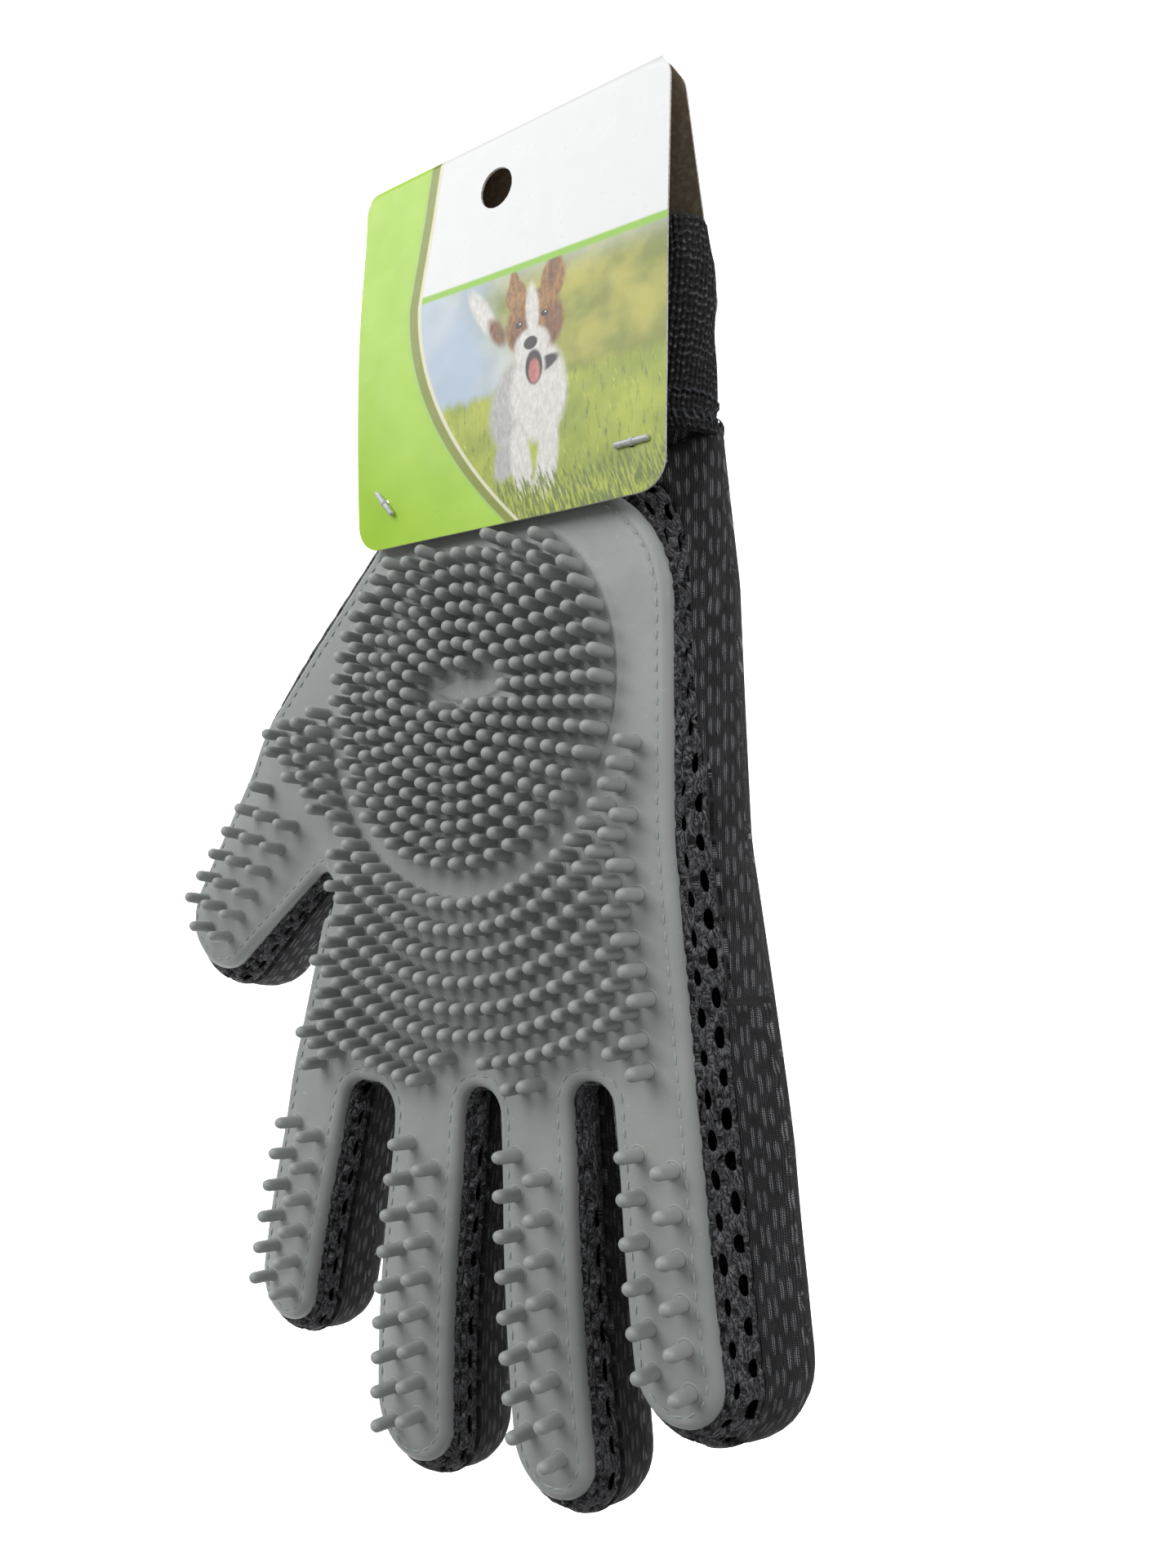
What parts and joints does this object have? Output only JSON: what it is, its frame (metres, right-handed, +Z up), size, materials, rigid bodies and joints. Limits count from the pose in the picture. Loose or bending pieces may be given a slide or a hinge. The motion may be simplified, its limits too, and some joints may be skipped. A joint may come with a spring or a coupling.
{
  "type": "pet grooming glove",
  "caption": "Five-finger pet grooming glove: nubbed rubber palm pad stitched to a mesh and knit glove, hanging from a folded header card.",
  "frame": {"origin": "middle of the hang hole in the header card's front panel", "axes": "+Z up through the card as it hangs, fingers towards -Z; -Y the way the rubber pad faces; +X towards the little finger side"},
  "size_m": [0.1666, 0.0325, 0.2841],
  "materials": {
    "grey_rubber": "matte",
    "air_mesh": "open mesh",
    "pique_knit": "bubble knit",
    "ribbed_elastic": "ribbed",
    "grey_thread": "twisted thread",
    "dark_thread": "twisted thread",
    "printed_card": "coated card, printed outside, plain kraft inside",
    "clear_plastic": "clear nylon"
  },
  "bodies": {
    "hand": {"header_card": "printed_card", "left_tag_fastener": "clear_plastic", "right_tag_fastener": "clear_plastic", "palm_pad": "grey_rubber", "palm_mesh_panel": "air_mesh", "hand_back_knit": "pique_knit", "palm_stitching": "grey_thread", "cuff_band": "ribbed_elastic", "cuff_cover_stitch": "dark_thread"},
    "thumb": {"thumb_pad": "grey_rubber", "thumb_mesh_panel": "air_mesh", "thumb_knit_stall": "pique_knit", "thumb_stitching": "grey_thread"},
    "index": {"index_pad": "grey_rubber", "index_mesh_panel": "air_mesh", "index_knit_stall": "pique_knit", "index_stitching": "grey_thread"},
    "middle": {"middle_pad": "grey_rubber", "middle_mesh_panel": "air_mesh", "middle_knit_stall": "pique_knit", "middle_stitching": "grey_thread"},
    "ring": {"ring_pad": "grey_rubber", "ring_mesh_panel": "air_mesh", "ring_knit_stall": "pique_knit", "ring_stitching": "grey_thread"},
    "little": {"little_pad": "grey_rubber", "little_mesh_panel": "air_mesh", "little_knit_stall": "pique_knit", "little_stitching": "grey_thread"}
  },
  "joints": [
    {"name": "thumb_curl", "type": "hinge", "parent": "hand", "child": "thumb", "pos_m": [-0.0645, 0.005, -0.1251], "axis": [-0.7385, 0, 0.6743], "range_deg": [0, 45], "stiffness_Nm_per_rad": 0.02},
    {"name": "index_curl", "type": "hinge", "parent": "hand", "child": "index", "pos_m": [-0.0521, 0.005, -0.1972], "axis": [-0.9748, 0, 0.2233], "range_deg": [0, 60], "stiffness_Nm_per_rad": 0.02},
    {"name": "middle_curl", "type": "hinge", "parent": "hand", "child": "middle", "pos_m": [-0.016, 0.005, -0.1954], "axis": [-0.9943, 0, 0.1063], "range_deg": [0, 60], "stiffness_Nm_per_rad": 0.02},
    {"name": "ring_curl", "type": "hinge", "parent": "hand", "child": "ring", "pos_m": [0.01195, 0.005, -0.1925], "axis": [-0.999, 0, -0.0454], "range_deg": [0, 60], "stiffness_Nm_per_rad": 0.02},
    {"name": "little_curl", "type": "hinge", "parent": "hand", "child": "little", "pos_m": [0.0401, 0.005, -0.1874], "axis": [-0.9954, 0, -0.0958], "range_deg": [0, 60], "stiffness_Nm_per_rad": 0.02}
  ]
}
